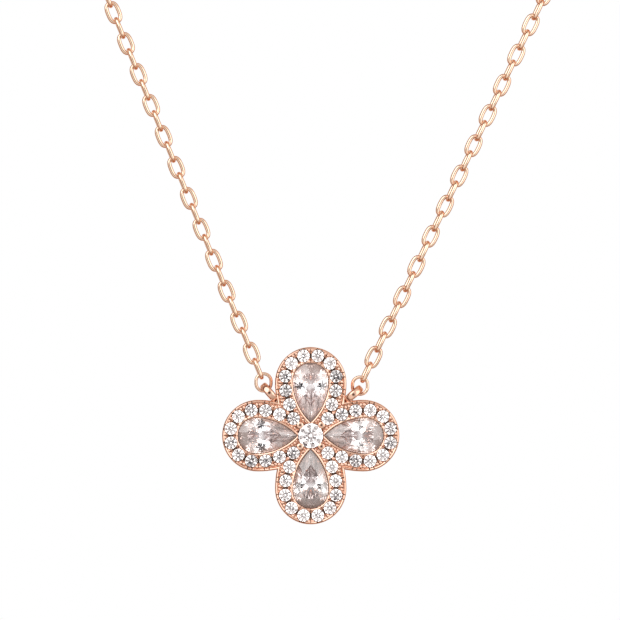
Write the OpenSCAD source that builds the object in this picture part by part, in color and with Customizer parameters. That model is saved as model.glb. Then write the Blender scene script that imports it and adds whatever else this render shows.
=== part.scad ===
// Four-petal flower pendant on a fine cable chain, in millimetres.
// +Z is up and the flower faces -Y. The origin is at the nape, in the middle of the clasp.
// The necklace keeps the form that it has when it is worn, with the flower on the upper chest.

/* [Flower] */
// Half width of a petal
petal_r = 3.03; // [2.98:0.01:3.08]
// From the flower's centre to the end of a petal
petal_reach = 7.52; // [7.46:0.01:7.58]
// From the widest place of a petal to its hidden point under the centre stone
petal_taper = 6.40; // [6.2:0.05:6.6]
// Depth of the setting behind the bead field
plate_depth = 1.25; // [1.1:0.05:1.5]
// Height of the rim, the bezels and the beads above the bead field
rim_h = 0.17; // [0.1:0.01:0.2]
// Width of the rim
rim_w = 0.20; // [0.16:0.01:0.22]

/* [Pear stones] */
// Width of a pear stone
pear_w = 3.0; // [2.9:0.05:3.05]
// Length of a pear stone
pear_l = 5.0; // [4.9:0.05:5.05]
// From the flower's centre to the point of a pear stone
pear_tip = 1.17; // [1.15:0.01:1.25]
// Wall of the bezel round a pear stone
bezel_w = 0.15; // [0.1:0.01:0.16]

/* [Round stones] */
// Diameter of the centre stone
centre_d = 2.1; // [2:0.01:2.12]
// Diameter of a pave stone
pave_d = 1.05; // [0.95:0.01:1.06]
// Distance from one pave stone to the next along the petal
pave_pitch = 1.225; // [1.22:0.005:1.23]
// Distance of the pave line from the edge of the pear stone
pave_offset = 0.69; // [0.68:0.01:0.7]
// Pave stones on each side of a petal
pave_side = 5; // [4:1:5]
// Distance of the four diagonal pave stones from the flower's centre
pave_diagonal = 2.06; // [2.05:0.01:2.07]
// Radius of the beads between two pave stones
bead_r = 0.11; // [0.08:0.01:0.12]
// Radius of the four beads that hold the centre stone
prong_r = 0.215; // [0.15:0.005:0.22]
// Gap between a stone and the metal round it
seat_gap = 0.05; // [0.03:0.01:0.06]

/* [Bails and end rings] */
// Outer diameter of a soldered bail ring
bail_d = 1.9; // [1.85:0.01:1.95]
// Thickness of the bail ring's band
bail_t = 0.24; // [0.22:0.01:0.25]
// Width of the bail ring's band
bail_w = 0.46; // [0.3:0.01:0.46]
// Height of an end ring
end_ring_h = 1.74; // [1.72:0.01:1.78]
// Width of an end ring
end_ring_w = 1.56; // [1.54:0.01:1.6]
// Wire of an end ring
end_ring_wire = 0.28; // [0.24:0.01:0.28]

/* [Chain] */
// Length of a link
link_l = 2.0; // [1.98:0.01:2.02]
// Width of a link
link_w = 1.3; // [1.2:0.01:1.35]
// Wire of a link
link_wire = 0.24; // [0.2:0.01:0.25]
// Distance from one link to the next
link_pitch = 1.42; // [1.41:0.01:1.43]
// Links in the straight stretch beside the flower, on each side
front_links = 27; // [10:1:27]
// Diameter of the outer form of the chain round the neck
back_d = 1.3; // [1.1:0.05:1.4]

/* [Clasp] */
// Length of the clasp without its loops
clasp_l = 7.6; // [6:0.1:9]
// Thickness of the clasp
clasp_t = 1.6; // [1.2:0.1:2]

/* [Hidden] */
$fn = 64;

GOLD = [0.85, 0.55, 0.42];
STONE = [0.93, 0.93, 0.95];
EPS = 0.01;

// Place of the flower's centre below and in front of the nape
flower_at = [0, -107, -113];

// Depth levels of the setting and the stones, towards the front, from the plane of the bails
back_z = -0.80;
field_z = back_z + plate_depth;
rim_z = field_z + rim_h;
pear_ledge_z = 0.15;
pave_ledge_z = 0.22;
centre_ledge_z = 0.34;
pear_girdle_z = 0.52;
pave_girdle_z = 0.42;
centre_girdle_z = 0.62;
girdle_h = 0.06;

// Cut of the stones: heights above and below the girdle, and the table's share of the width
pear_crown = 0.44;
pear_pavilion = 1.18;
pear_table = 0.55;
pear_table_shift = 0.35;
centre_crown = 0.34;
centre_pavilion = 0.90;
centre_table = 0.56;
pave_crown = 0.16;
pave_pavilion = 0.42;
pave_table = 0.58;

// Height of the star facets as a share of the crown, and place of the keel points
star_share = 0.56;
keel_share = 0.30;
keel_depth = 0.78;

// Pear stone: a half circle and two side arcs that meet at its point
pear_r = pear_w / 2;
pear_taper = pear_l - pear_r;
pear_mid = pear_tip + pear_taper;
pear_side_r = side_radius(pear_r, pear_taper);
petal_mid = petal_reach - petal_r;
petal_side_r = side_radius(petal_r, petal_taper);

// Openings at the back, under the stones, and how far the cuts run past the plate
past = 0.5;
pear_open = 0.35;
pave_open_r = 0.36;
centre_open_r = 0.86;
centre_seat_r = centre_d / 2 + 0.09;

// Slit between two pave stones, the places of the beads beside it, and the four centre beads
slit_w = 0.14;
slit_l = 0.44;
slit_below = 0.2;
bead_out = 0.50;
bead_in = 0.48;
bead_apart = 0.14;
prong_from_centre = 1.295;
prong_low_z = -0.6;
prong_top_z = 0.74;
pave_line_r = pear_r + pave_offset;
pave_side_line_r = pear_side_r + pave_offset;
cap_length = pave_line_r * PI / 2;

// Bail rings: centre across, centre up, direction in degrees from +X, seen from the front
BAIL_X = 0;
BAIL_UP = 1;
BAIL_TURN = 2;
bail_left = [-3.51, 3.65, 130];
bail_right = [3.62, 3.50, 41];

// End rings and the straight strands that leave them, from the flower's centre
end_left = [-4.01, 0, 4.52];
end_right = [4.19, 0, 4.24];
strand_left = [-sin(22.1), 0, cos(22.1)];
strand_right = [sin(25.3), 0, cos(25.3)];
first_link = 1.26;
link_gap = 0.1;
strand_end = first_link + (front_links - 1) * link_pitch + link_l / 2 + link_gap;
tube_from_left = flower_at + end_left + strand_left * strand_end;
tube_from_right = flower_at + end_right + strand_right * strand_end;
lead_in = 14;

// Clasp: its loops, its two round ends, the finger hole and how far its sides are drawn in
clasp_loop_x = clasp_l / 2 + 0.45;
clasp_loop_r = 0.95;
clasp_loop_t = 0.5;
clasp_hole_r = 0.5;
clasp_big_r = 1.9;
clasp_small_r = 1.1;
clasp_finger_r = 1.05;
clasp_waist = 0.96;

// Route of the chain round the neck, from the end of each strand to the clasp
tube_to_x = clasp_loop_x + clasp_loop_r + link_gap;
route_left = [
    tube_from_left - strand_left * lead_in,
    tube_from_left,
    [-24, -106, -60],
    [-30.5, -100.5, -46],
    [-38, -90, -34],
    [-46, -76, -24],
    [-52, -59, -15],
    [-55, -42, -8.5],
    [-53, -25, -3.5],
    [-43.5, -11, -1],
    [-27, -2.5, 0],
    [-tube_to_x, 0, 0],
    [8, 0, 0]];
route_right = [
    tube_from_right - strand_right * lead_in,
    tube_from_right,
    [26.5, -106, -60.5],
    [32.5, -100.5, -47],
    [39.5, -90, -35],
    [46.5, -76, -24.5],
    [52, -59, -15],
    [55, -42, -8.5],
    [53, -25, -3.5],
    [43.5, -11, -1],
    [27, -2.5, 0],
    [tube_to_x, 0, 0],
    [-8, 0, 0]];
ring_steps = 4;
tube_sides = 8;
tube_across_left = [0.5, -0.5, 0.7];
tube_across_right = [-0.5, -0.5, 0.7];

// Radius of the side arcs of a pear outline of half width r, tapering over the length t
function side_radius(r, t) = (t * t + r * r) / (2 * r);

// Point on the line of pave stones, at the length s from the end of the petal
function pave_point(s) =
    let (side = s < 0 ? -1 : 1, along = abs(s))
    along < cap_length
        ? [pear_mid + pave_line_r * cos(along / pave_line_r * 180 / PI),
            side * pave_line_r * sin(along / pave_line_r * 180 / PI)]
        : let (a = (along - cap_length) / pave_side_line_r * 180 / PI)
            [pear_mid - pave_side_line_r * sin(a),
            side * (pave_side_line_r * cos(a) - (pear_side_r - pear_r))];

// Places of the pave stones of one petal, and of all four, seen from the front
petal_places = [for (k = [-pave_side : pave_side - 1]) pave_point((k + 0.5) * pave_pitch)];
pave_places = [for (q = [0 : 3]) each concat(
    [for (p = petal_places) turned(p, 90 * q)],
    [pave_diagonal * [cos(90 * q + 45), sin(90 * q + 45)]])];

function turned(p, a) = [p[0] * cos(a) - p[1] * sin(a), p[0] * sin(a) + p[1] * cos(a)];
function unit(v) = v / norm(v);

// Outline of a pear stone as points: its tip, one side arc, the round end, the other side arc
function pear_outline(sides, caps) =
    let (tip_a = atan2(pear_side_r - pear_r, -pear_taper), drop = pear_side_r - pear_r)
    concat(
        [for (i = [0 : sides - 1])
            let (a = tip_a + (90 - tip_a) * i / sides)
            [pear_mid + pear_side_r * cos(a), pear_side_r * sin(a) - drop]],
        [for (i = [0 : caps])
            let (a = 90 - 180 * i / caps)
            [pear_mid + pear_r * cos(a), pear_r * sin(a)]],
        [for (i = [sides - 1 : -1 : 1])
            let (a = tip_a + (90 - tip_a) * i / sides)
            [pear_mid + pear_side_r * cos(a), drop - pear_side_r * sin(a)]]);

// Outline of a round stone, clockwise as the pear's is
function round_outline(r, n) = [for (i = [0 : n - 1]) [-r * cos(360 * i / n), r * sin(360 * i / n)]];

// Every second point of an outline, drawn in to the share k about the point c, at the height z
function inset(outline, first, k, c, z) =
    [for (i = [first : 2 : len(outline) - 1])
        [c[0] + (outline[i][0] - c[0]) * k, c[1] + (outline[i][1] - c[1]) * k, z]];
function lifted(outline, z) = [for (p = outline) [p[0], p[1], z]];

// A brilliant cut over any clockwise outline with an even number of points
module brilliant(outline, c, crown_h, pavilion_h, table_k) {
    n = len(outline);
    m = n / 2;
    points = concat(
        inset(outline, 0, table_k, c, crown_h),
        inset(outline, 1, (1 + table_k) / 2, c, crown_h * star_share),
        lifted(outline, 0),
        lifted(outline, -girdle_h),
        inset(outline, 1, keel_share, c, -girdle_h - pavilion_h * keel_depth),
        [[c[0], c[1], -girdle_h - pavilion_h]]);
    star = m;
    top = 2 * m;
    low = top + n;
    keel = low + n;
    culet = keel + m;
    faces = concat(
        [[for (j = [0 : m - 1]) j]],
        [for (j = [0 : m - 1]) each
            let (next = (j + 1) % m, g = top + 2 * j, g2 = top + (2 * j + 1) % n, g3 = top + (2 * j + 2) % n)
            [[j, star + j, next], [j, g, star + j], [star + j, g3, next],
                [g, g2, star + j], [g2, g3, star + j]]],
        [for (i = [0 : n - 1]) each
            let (k = (i + 1) % n)
            [[top + i, low + i, top + k], [top + k, low + i, low + k]]],
        [for (j = [0 : m - 1]) each
            let (g = low + 2 * j, g2 = low + (2 * j + 1) % n, g3 = low + (2 * j + 2) % n, next = (j + 1) % m)
            [[g, keel + j, g2], [g2, keel + j, g3], [g3, keel + j, keel + next],
                [keel + j, culet, keel + next]]]);
    polyhedron(points, faces);
}

// A small stone with an octagonal table, eight crown facets and eight pavilion facets
module octagon_stone(r, crown_h, pavilion_h, table_k) {
    girdle = round_outline(r, 8);
    points = concat(
        lifted([for (p = girdle) p * table_k], crown_h),
        lifted(girdle, 0),
        lifted(girdle, -girdle_h),
        [[0, 0, -girdle_h - pavilion_h]]);
    faces = concat(
        [[for (j = [0 : 7]) j]],
        [for (ring = [0 : 1], j = [0 : 7]) each
            let (a = ring * 8 + j, b = ring * 8 + (j + 1) % 8)
            [[a, a + 8, b], [b, a + 8, b + 8]]],
        [for (j = [0 : 7]) [16 + j, 24, 16 + (j + 1) % 8]]);
    polyhedron(points, faces);
}

// From the flower's own frame, seen from the front, to the frame of the necklace
module at_flower() {
    translate(flower_at) rotate([90, 0, 0]) children();
}

// Pear outline of half width r about the place mid, every edge moved out by grow
module pear_shape(mid, r, side_r, taper, grow) {
    drop = side_r - r;
    intersection() {
        translate([mid, 0]) circle(r + grow);
        translate([mid, -2 * r]) square([2 * r, 4 * r]);
    }
    intersection() {
        translate([mid, -drop]) circle(side_r + grow);
        translate([mid, drop]) circle(side_r + grow);
        translate([mid - 2 * taper, -2 * r]) square([2 * taper, 4 * r]);
    }
}

module petal_shape(grow) {
    pear_shape(petal_mid, petal_r, petal_side_r, petal_taper, grow);
}

module stone_shape(grow) {
    pear_shape(pear_mid, pear_r, pear_side_r, pear_taper, grow);
}

module four() {
    for (q = [0 : 3]) rotate(90 * q) children();
}

// Bead or slit places lie between a stone of a petal and the next one along it
module between_stones() {
    for (q = [0 : 3], k = [0 : len(petal_places) - 2]) {
        a = petal_places[k];
        b = petal_places[k + 1];
        along = unit(b - a);
        rotate(90 * q) translate((a + b) / 2) rotate(atan2(along[1], along[0])) children();
    }
}

module beads_shape() {
    between_stones()
        for (side = [-1, 1]) {
            translate([side * bead_apart, -bead_out]) circle(bead_r);
            translate([side * bead_apart, bead_in]) circle(bead_r);
        }
}

module plate() {
    translate([0, 0, back_z]) linear_extrude(plate_depth) four() petal_shape(0);
}

module seats() {
    low = back_z - past;
    deep = plate_depth + 2 * past;
    translate([0, 0, low]) linear_extrude(deep) four() stone_shape(-pear_open);
    translate([0, 0, pear_ledge_z]) linear_extrude(deep) four() stone_shape(seat_gap);
    for (p = pave_places) {
        translate([p[0], p[1], low]) cylinder(h = deep, r = pave_open_r);
        translate([p[0], p[1], pave_ledge_z]) cylinder(h = deep, r = pave_d / 2 + seat_gap);
    }
    translate([0, 0, low]) cylinder(h = deep, r = centre_open_r);
    translate([0, 0, centre_ledge_z]) cylinder(h = deep, r = centre_seat_r);
    translate([0, 0, pave_ledge_z - slit_below]) linear_extrude(deep)
        between_stones() square([slit_w, slit_l], center = true);
}

module relief() {
    translate([0, 0, field_z]) linear_extrude(rim_h) {
        difference() {
            four() petal_shape(0);
            four() petal_shape(-rim_w);
        }
        difference() {
            four() stone_shape(seat_gap + bezel_w);
            four() stone_shape(seat_gap);
            circle(centre_seat_r);
        }
        beads_shape();
    }
    for (q = [0 : 3])
        rotate(90 * q + 45) translate([prong_from_centre, 0, prong_low_z])
            cylinder(h = prong_top_z - prong_low_z, r = prong_r);
}

module bail(place) {
    translate([place[BAIL_X], place[BAIL_UP], 0]) rotate([90, 0, place[BAIL_TURN]])
        rotate_extrude() translate([bail_d / 2 - bail_t, -bail_w / 2]) square([bail_t, bail_w]);
}

module flower_setting() {
    color(GOLD) at_flower() {
        difference() {
            plate();
            seats();
        }
        relief();
        bail(bail_left);
        bail(bail_right);
    }
}

module pear_stone(turn) {
    color(STONE) at_flower() rotate(turn) translate([0, 0, pear_girdle_z])
        brilliant(pear_outline(6, 12), [pear_mid - pear_table_shift, 0],
            pear_crown, pear_pavilion, pear_table);
}

module pear_stone_right() { pear_stone(0); }
module pear_stone_top() { pear_stone(90); }
module pear_stone_left() { pear_stone(180); }
module pear_stone_bottom() { pear_stone(270); }

module centre_stone() {
    color(STONE) at_flower() translate([0, 0, centre_girdle_z])
        brilliant(round_outline(centre_d / 2, 16), [0, 0],
            centre_crown, centre_pavilion, centre_table);
}

module pave_stones() {
    color(STONE) at_flower()
        for (p = pave_places)
            translate([p[0], p[1], pave_girdle_z])
                octagon_stone(pave_d / 2, pave_crown, pave_pavilion, pave_table);
}

// A ring of round wire with straight sides and round ends, along X, in the XY plane
module oval_ring(length, width, wire) {
    bend_r = (width - wire) / 2;
    straight = length - width;
    for (end = [-1, 1]) {
        translate([end * straight / 2, 0, 0]) rotate(-end * 90)
            rotate_extrude(angle = 180) translate([bend_r, 0]) circle(d = wire);
        translate([-straight / 2, end * bend_r, 0]) rotate([0, 90, 0])
            cylinder(h = straight, d = wire);
    }
}

module end_ring(place) {
    color(GOLD) translate(flower_at + place) rotate([90, 90, 0])
        oval_ring(end_ring_h, end_ring_w, end_ring_wire);
}

module end_ring_left() { end_ring(end_left); }
module end_ring_right() { end_ring(end_right); }

// The straight stretch: links seen from the edge and from the front in turn
module chain_front(place, strand) {
    lean = atan2(strand[2], strand[0]);
    color(GOLD) translate(flower_at + place) rotate([90, 0, 0]) rotate(lean)
        for (i = [0 : front_links - 1])
            translate([first_link + i * link_pitch, 0, 0]) rotate([i % 2 == 0 ? 90 : 0, 0, 0])
                oval_ring(link_l, link_w, link_wire);
}

module chain_front_left() { chain_front(end_left, strand_left); }
module chain_front_right() { chain_front(end_right, strand_right); }

// Smooth curve through a route's points; the first and last only give its end directions
function curve_point(a, b, c, d, t) =
    0.5 * (2 * b + (c - a) * t + (2 * a - 5 * b + 4 * c - d) * t * t
        + (3 * b - a - 3 * c + d) * t * t * t);
function curve(route) = concat(
    [for (i = [1 : len(route) - 3], j = [0 : ring_steps - 1])
        curve_point(route[i - 1], route[i], route[i + 1], route[i + 2], j / ring_steps)],
    [route[len(route) - 2]]);
function tangent(path, i) = unit(path[min(i + 1, len(path) - 1)] - path[max(i - 1, 0)]);

// A tube swept along a route, its rings set by a direction that the route never takes
module tube(route, across) {
    path = curve(route);
    last = len(path) - 1;
    points = [for (i = [0 : last]) each
        let (t = tangent(path, i), u = unit(across - t * (across * t)), v = cross(t, u))
        [for (k = [0 : tube_sides - 1])
            path[i] + back_d / 2 * (u * cos(360 * k / tube_sides) + v * sin(360 * k / tube_sides))]];
    sides = [for (i = [0 : last - 1], k = [0 : tube_sides - 1])
        let (a = i * tube_sides + k, b = i * tube_sides + (k + 1) % tube_sides)
        [a, a + tube_sides, b + tube_sides, b]];
    ends = [[for (k = [0 : tube_sides - 1]) k],
        [for (k = [tube_sides - 1 : -1 : 0]) last * tube_sides + k]];
    polyhedron(points, concat(sides, ends));
}

module chain_back_left() { color(GOLD) tube(route_left, tube_across_left); }
module chain_back_right() { color(GOLD) tube(route_right, tube_across_right); }

// A closed spring clasp in one piece, with a flat loop at each end
module clasp() {
    big_x = clasp_big_r - clasp_l / 2;
    small_x = clasp_l / 2 - clasp_small_r;
    big_y = clasp_waist * clasp_big_r;
    small_y = clasp_waist * clasp_small_r;
    color(GOLD) rotate([90, 0, 0]) {
        translate([0, 0, -clasp_t / 2]) linear_extrude(clasp_t) difference() {
            union() {
                translate([big_x, 0]) circle(clasp_big_r);
                translate([small_x, 0]) circle(clasp_small_r);
                polygon([[big_x, -big_y], [small_x, -small_y], [small_x, small_y], [big_x, big_y]]);
            }
            translate([big_x, 0]) circle(clasp_finger_r);
        }
        for (end = [-1, 1])
            translate([end * clasp_loop_x, 0, -clasp_loop_t / 2]) difference() {
                cylinder(h = clasp_loop_t, r = clasp_loop_r);
                translate([0, 0, -EPS]) cylinder(h = clasp_loop_t + 2 * EPS, r = clasp_hole_r);
            }
    }
}

flower_setting();
pear_stone_top();
pear_stone_right();
pear_stone_bottom();
pear_stone_left();
centre_stone();
pave_stones();
end_ring_left();
end_ring_right();
chain_front_left();
chain_front_right();
chain_back_left();
chain_back_right();
clasp();
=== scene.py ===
import math
import random

import bmesh
import bpy
from mathutils import Matrix, Vector


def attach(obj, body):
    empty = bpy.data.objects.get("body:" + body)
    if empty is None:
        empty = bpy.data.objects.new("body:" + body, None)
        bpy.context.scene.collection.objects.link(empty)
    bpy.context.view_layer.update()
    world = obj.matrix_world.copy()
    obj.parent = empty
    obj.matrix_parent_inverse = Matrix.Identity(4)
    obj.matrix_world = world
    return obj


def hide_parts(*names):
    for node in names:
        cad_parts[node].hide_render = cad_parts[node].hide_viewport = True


# A four-petal flower pendant set with pear and round stones, on a fine cable chain.
# Lengths of the jewel are in millimetres here and become metres where a mesh is made.
# The flower's own plane has x to the right, y up and z towards the front.

MM = 0.001
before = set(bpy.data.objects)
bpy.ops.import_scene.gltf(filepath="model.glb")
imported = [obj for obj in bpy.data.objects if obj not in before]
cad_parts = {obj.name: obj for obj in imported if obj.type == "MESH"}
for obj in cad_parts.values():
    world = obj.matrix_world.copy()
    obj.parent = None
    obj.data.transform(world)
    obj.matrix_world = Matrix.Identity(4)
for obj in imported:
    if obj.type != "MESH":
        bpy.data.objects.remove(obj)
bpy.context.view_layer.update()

# Turns of the petals in degrees, and corners of a square
QUARTERS = (0, 90, 180, 270)
SQUARE = ((-1, -1), (1, -1), (1, 1), (-1, 1))

# Places that the construction gives; a bail has its middle's x and y and its direction in degrees
FLOWER_AT = Vector((0, -107, -113))
BAIL_LEFT = (-3.51, 3.65, 130)
BAIL_RIGHT = (3.62, 3.50, 41)

# Petals and pear stones: a half circle and two side arcs that meet at a point
PETAL_R = 3.03
PETAL_MID = 4.49
PETAL_TAPER = 6.40
PEAR_R = 1.5
PEAR_TAPER = 3.5
PEAR_MID = 4.67

# Depth levels, from the plane of the bails towards the front; cutters run from under to over
BACK_Z = -0.80
FIELD_Z = 0.45
RIM_Z = 0.62
PEAR_LEDGE_Z = 0.15
PAVE_LEDGE_Z = 0.22
CENTRE_LEDGE_Z = 0.34
PEAR_GIRDLE_Z = 0.52
PAVE_GIRDLE_Z = 0.42
CENTRE_GIRDLE_Z = 0.62
UNDER_Z = BACK_Z - 0.5
OVER_Z = 1.5

# Pear stones: places of the table and the culet, share of the way out of the keel points, and their depth
PEAR_GIRDLE = 0.06
PEAR_TABLE_X = PEAR_MID - 0.45
PEAR_CULET_X = PEAR_MID - 0.70
KEEL_ENDS = 0.20
KEEL_SIDES = 0.27
KEEL_DROP = 1.10

# Round stones
PAVE_R = 0.525
PAVE_GIRDLE = 0.04
CENTRE_R = 1.05
CENTRE_GIRDLE = 0.06
CENTRE_TURN = 11
PAVE_PITCH = 1.225
PAVE_OFFSET = 0.69
PAVE_SIDE = 5
PAVE_DIAGONAL = 2.06
STONE_TILT = math.radians(4)

# Rim, bezels and seats, with the openings behind the stones
RIM_W = 0.20
BEZEL_W = 0.15
SEAT_GAP = 0.05
PEAR_OPEN = 0.35
PAVE_OPEN_R = 0.36
CENTRE_OPEN_R = 0.86

# Slits between the stones, fine grooves that run on from them, and notches in the rim, two beside each stone
CUT_DEPTH = 0.10
SLIT_W = 0.13
SLIT_L = 0.42
GROOVE_W = 0.06
GROOVE_L = 1.12
GROOVE_OUT = 0.04
NOTCH_IN = 0.16
NOTCH_ALONG = 0.20
NOTCH_W = 0.09
NOTCH_L = 0.19

# Beads beside the slits; extra beads by their place along and across a diagonal, and their size
BEAD_R = 0.125
BEAD_FLAT = 0.62
BEAD_RISE = 0.05
BEAD_APART = 0.14
BEAD_OUT = 0.50
BEAD_IN = 0.48
CORNER_APART = 0.13
CORNER_OUT = 0.46
CORNER_SIZE = 0.85
EXTRA_BEADS = [((1.40, 0.49), 0.95), ((1.17, 0.55), 0.75), ((1.66, 0.60), 0.8), ((2.05, 0.63), 0.75),
               ((2.72, 0), 0.85), ((3.62, 0.15), 1.0)]

# The four beads on posts that hold the centre stone, each in a round bay of the field
PRONG_AT = 1.28
PRONG_R = 0.295
PRONG_FLAT = 0.30
PRONG_Z = 0.79
PRONG_POST_R = 0.21
PRONG_FOOT_Z = -0.4
BAY_R = PRONG_R + 0.05
BAY_DEPTH = 0.12

# Bails, end rings and links: a link has its length, its width, and its wire's width at the ends and depth
BAIL_D = 1.9
BAIL_T = 0.24
BAIL_W = 0.64
END_RING = (1.74, 1.56, 0.28)
LINK = (2.0, 1.32, 0.29, 0.37)
LINK_SIDE = 0.37
LINK_POWER = 2.7
LINK_PITCH = 1.42
FIRST_LINK = 1.26
FRONT_LINKS = 27
STRAND_END = FIRST_LINK + (FRONT_LINKS - 1) * LINK_PITCH + 1.1
LEAD_IN = 14
CURVE_STEPS = 40

# Clasp
CLASP_L = 7.6
CLASP_T = 1.6
CLASP_LOOP_X = CLASP_L / 2 + 0.45
CLASP_LOOP_R = 0.95
CLASP_LOOP_T = 0.5
CLASP_HOLE_R = 0.5
CLASP_BIG_R = 1.9
CLASP_SMALL_R = 1.1
CLASP_FINGER_R = 1.05

# The chain's two halves: the side, the place of the end ring, the lean of the straight strand and the twist
# of the links in degrees, and the route on from the strand; then the right half's route round the neck, which
# the left half mirrors
HALVES = {
    "left": (-1, (-4.01, 0, 4.52), 22.1, 5,
             [(-24, -106, -60), (-30.5, -100.5, -46), (-38, -90, -34), (-46, -76, -24)]),
    "right": (1, (4.19, 0, 4.24), 25.3, 9,
              [(26.5, -106, -60.5), (32.5, -100.5, -47), (39.5, -90, -35), (46.5, -76, -24.5)]),
}
NECK = [(52, -59, -15), (55, -42, -8.5), (53, -25, -3.5), (43.5, -11, -1), (27, -2.5, 0)]

# The view: straight on, 0.085 mm a pixel, its middle above the flower's centre
PIXEL = 0.085
IMAGE = 620
MIDDLE = Vector((-0.06, 0, 10.67))
LENS = 200
SENSOR = 36


def new_object(name, data):
    piece = bpy.data.objects.new(name, data)
    bpy.context.scene.collection.objects.link(piece)
    return piece


# Camera

def make_camera():
    data = bpy.data.cameras.new("camera")
    data.lens = LENS
    data.sensor_width = SENSOR
    data.clip_start = 0.005
    data.clip_end = 20
    camera = new_object("camera", data)
    away = IMAGE * PIXEL * LENS / SENSOR
    camera.location = (FLOWER_AT + MIDDLE + Vector((0, -away, 0))) * MM
    camera.rotation_euler = (math.pi / 2, 0, 0)
    bpy.context.scene.camera = camera


make_camera()


# Points and meshes

def flower_point(x, y, z):
    """A point of the flower's own plane, in the necklace's frame, in metres."""
    return (FLOWER_AT + Vector((x, -z, y))) * MM


def nape_point(x, y, z):
    """A point of the same plane at the nape, where the clasp is, in metres."""
    return Vector((x, -z, y)) * MM


def turned(p, degrees):
    c = math.cos(math.radians(degrees))
    s = math.sin(math.radians(degrees))
    return (p[0] * c - p[1] * s, p[0] * s + p[1] * c)


def part_way(value, low, high):
    """How far the value is on its way from low to high, from 0 to 1."""
    return min(1.0, max(0.0, (value - low) / (high - low)))


def both_sides(steps):
    """Profile steps from back to front, from those of the front half of a piece that is the same behind."""
    return [(r, -h) for r, h in steps] + steps[::-1]


def dress(name, mesh, body, node, material=None):
    """The finished piece, on its body and in the place of the construction's node."""
    if material:
        mesh.materials.append(material)
    piece = new_object(name, mesh)
    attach(piece, body)
    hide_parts(node)


def mesh_from(name, points, faces):
    mesh = bpy.data.meshes.new(name)
    mesh.from_pydata([tuple(p) for p in points], [], faces)
    mesh.update()
    return mesh


def outward(mesh):
    """Turns every face of a closed mesh to point outwards."""
    work = bmesh.new()
    work.from_mesh(mesh)
    bmesh.ops.remove_doubles(work, verts=work.verts, dist=0.0005 * MM)
    bmesh.ops.recalc_face_normals(work, faces=work.faces)
    work.to_mesh(mesh)
    work.free()


def solid(name, rings, closed=False):
    """A closed mesh over rings of equal length, joined in turn; closed joins the last to the first."""
    count = len(rings[0])
    points = [p for ring in rings for p in ring]
    faces = []
    spans = len(rings) if closed else len(rings) - 1
    for i in range(spans):
        a = i * count
        b = (i + 1) % len(rings) * count
        for k in range(count):
            m = (k + 1) % count
            faces.append((a + k, a + m, b + m, b + k))
    if not closed:
        faces.append(tuple(range(count - 1, -1, -1)))
        faces.append(tuple(range((len(rings) - 1) * count, len(rings) * count)))
    mesh = mesh_from(name, points, faces)
    outward(mesh)
    return mesh


def smooth(mesh, angle, material):
    """Smooth shading with a crisp edge wherever two faces meet at more than the angle, in one material."""
    mesh.shade_smooth()
    mesh.set_sharp_from_angle(angle=math.radians(angle))
    mesh.materials.clear()
    mesh.materials.append(material)


def finished(name, work):
    mesh = bpy.data.meshes.new(name)
    work.to_mesh(mesh)
    work.free()
    return mesh


def join(name, meshes):
    """One mesh from several."""
    work = bmesh.new()
    for mesh in meshes:
        work.from_mesh(mesh)
    return finished(name, work)


def applied(piece):
    """Plain mesh of the piece as its modifiers make it."""
    return bpy.data.meshes.new_from_object(piece.evaluated_get(bpy.context.evaluated_depsgraph_get()))


def cut(mesh, others, operation="DIFFERENCE"):
    """The mesh with other closed meshes taken away from it, or joined to it."""
    body = new_object("work_body", mesh)
    tool = new_object("work_tool", join("others", others))
    modifier = body.modifiers.new("cut", "BOOLEAN")
    modifier.object = tool
    modifier.operation = operation
    modifier.solver = "MANIFOLD"
    result = applied(body)
    bpy.data.objects.remove(body)
    bpy.data.objects.remove(tool)
    return result


def keep_values(mesh, name, values, domain="POINT"):
    """Keeps a number for each point or face of the mesh."""
    mesh.attributes.new(name, "FLOAT", domain).data.foreach_set("value", values)


# Outlines in the flower's plane

def side_radius(r, taper):
    return (taper * taper + r * r) / (2 * r)


def petal_arcs(mid, r, big, grow, start, sides, caps):
    """The round end and the two side arcs beside it, moved out by grow, counter-clockwise.

    A side arc of radius big begins at the angle start, towards the tip."""
    reach = big + grow
    drop = big - r
    side = []
    for i in range(sides):
        a = start * (1 - i / sides)
        side.append((mid - reach * math.sin(a), reach * math.cos(a) - drop))
    cap = []
    for i in range(caps + 1):
        a = math.pi / 2 - math.pi * i / caps
        cap.append((mid + (r + grow) * math.cos(a), (r + grow) * math.sin(a)))
    back = [(x, -y) for x, y in reversed(side[1:])]
    return (side + cap + back)[::-1]


def pear_outline(mid, r, taper, grow, sides=14, caps=28):
    """Outline of a pear shape, counter-clockwise from its tip."""
    big = side_radius(r, taper)
    return petal_arcs(mid, r, big, grow, math.acos((big - r) / (big + grow)), sides, caps)


def flower_outline(grow):
    """Outline of the four petals together, counter-clockwise."""
    big = side_radius(PETAL_R, PETAL_TAPER)
    drop = big - PETAL_R
    reach = big + grow
    half = drop - PETAL_MID
    notch = (-half + math.sqrt(half * half - 2 * (PETAL_MID ** 2 + drop ** 2 - reach ** 2))) / 2
    start = math.asin((PETAL_MID - notch) / reach)
    petal = petal_arcs(PETAL_MID, PETAL_R, big, grow, start, 8, 30)
    return [turned(p, turn) for turn in QUARTERS for p in petal]


def round_outline(r, sides):
    turns = [2 * math.pi * k / sides for k in range(sides)]
    return [(r * math.cos(a), r * math.sin(a)) for a in turns]


def ring_at(outline, z, point=flower_point):
    return [point(x, y, z) for x, y in outline]


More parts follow.
